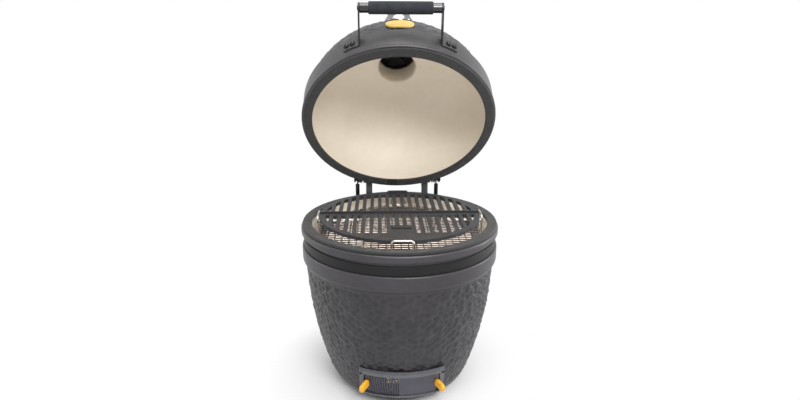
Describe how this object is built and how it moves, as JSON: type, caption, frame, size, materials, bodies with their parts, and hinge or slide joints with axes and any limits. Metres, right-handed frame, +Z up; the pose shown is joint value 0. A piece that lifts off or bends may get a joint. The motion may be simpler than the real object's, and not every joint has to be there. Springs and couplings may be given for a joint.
{
  "type": "kamado grill",
  "caption": "Ceramic kamado grill with a hinged dome lid standing open, sprung hinge, half-moon grates on a lift-out rack, fire box and a sliding draft door.",
  "frame": {"origin": "centre of the flat foot under the ceramic base", "axes": "+Z up, -Y towards the front with the draft door, hinge at the back at +Y"},
  "size_m": [0.5499, 0.6636, 1.0604],
  "materials": {
    "glazed_shell": "satin",
    "fire_clay": "matte",
    "felt": "matte",
    "band_steel": "satin",
    "lid_band_steel": "satin",
    "hinge_steel": "satin",
    "black_fastener": "satin",
    "black_tube": "gloss",
    "bright_steel": "satin",
    "spring_steel": "satin",
    "grey_sheet": "satin",
    "amber_tab": "satin",
    "amber_plate": "satin",
    "grate_iron": "matte",
    "vent_iron": "matte",
    "foam": "matte",
    "polished_case": "polished",
    "dial_white": "satin",
    "needle_red": "satin",
    "clear_lens": "polished"
  },
  "bodies": {
    "base": {"base_shell": "glazed_shell", "base_gasket": "felt", "base_band": "band_steel", "fire_box": "fire_clay", "fire_ring": "fire_clay", "charcoal_grate": "grate_iron", "hinge_base_bracket": "hinge_steel", "hinge_base_bolts": "black_fastener", "hinge_pin": "bright_steel", "hinge_pin_nut": "black_fastener", "hinge_spring_left": "spring_steel", "hinge_spring_right": "spring_steel", "draft_frame": "grey_sheet", "draft_frame_screws": "black_fastener"},
    "lid": {"lid_shell": "glazed_shell", "lid_gasket": "felt", "lid_band": "lid_band_steel", "hinge_lid_bracket": "hinge_steel", "hinge_lid_bolts": "black_fastener", "handle_arm_left": "black_fastener", "handle_arm_right": "black_fastener", "handle_tube": "black_tube", "handle_grip": "foam", "handle_bolts": "black_fastener", "handle_end_screws": "black_fastener", "lid_badge": "amber_plate", "thermometer_foot": "polished_case", "thermometer_case": "polished_case", "thermometer_dial": "dial_white", "thermometer_lens": "clear_lens", "thermometer_stem": "bright_steel", "vent_base": "vent_iron", "vent_pivot": "bright_steel"},
    "vent_wheel": {"vent_wheel": "vent_iron"},
    "pointer": {"thermometer_pointer": "needle_red"},
    "draft_door": {"draft_door": "grey_sheet", "draft_door_tab": "amber_tab"},
    "ash_screen": {"ash_screen": "grey_sheet", "ash_screen_tab": "amber_tab"},
    "rack": {"rack_frame": "bright_steel", "wire_grid": "bright_steel"},
    "front_grate": {"front_grate": "grate_iron"},
    "rear_grate": {"rear_grate": "grate_iron"}
  },
  "joints": [
    {"name": "lid_hinge", "type": "hinge", "parent": "base", "child": "lid", "pos_m": [0, 0.285, 0.52], "axis": [-1, 0, 0], "range_deg": [-54, 0], "stiffness_Nm_per_rad": 56, "springref_deg": 46.98},
    {"name": "vent_turn", "type": "hinge", "parent": "lid", "child": "vent_wheel", "pos_m": [0, 0.35088, 0.92015], "axis": [0, 0.809, 0.5878], "range_deg": [0, 60]},
    {"name": "pointer_turn", "type": "hinge", "parent": "lid", "child": "pointer", "pos_m": [0, 0.14074, 1.03936], "axis": [0, -0.1045, -0.9945], "range_deg": [0, 270]},
    {"name": "door_slide", "type": "hinge", "parent": "base", "child": "draft_door", "pos_m": [0, 0, 0.09], "axis": [0, 0, -1], "range_deg": [0, 18]},
    {"name": "screen_slide", "type": "hinge", "parent": "base", "child": "ash_screen", "pos_m": [0, 0, 0.09], "axis": [0, 0, -1], "range_deg": [-18, 0]},
    {"name": "rack_lift", "type": "slide", "parent": "base", "child": "rack", "axis": [0, 0, 1], "range_m": [0, 0.06]},
    {"name": "front_grate_lift", "type": "slide", "parent": "rack", "child": "front_grate", "axis": [0, 0, 1], "range_m": [0, 0.04]},
    {"name": "rear_grate_lift", "type": "slide", "parent": "rack", "child": "rear_grate", "axis": [0, 0, 1], "range_m": [0, 0.04]}
  ]
}
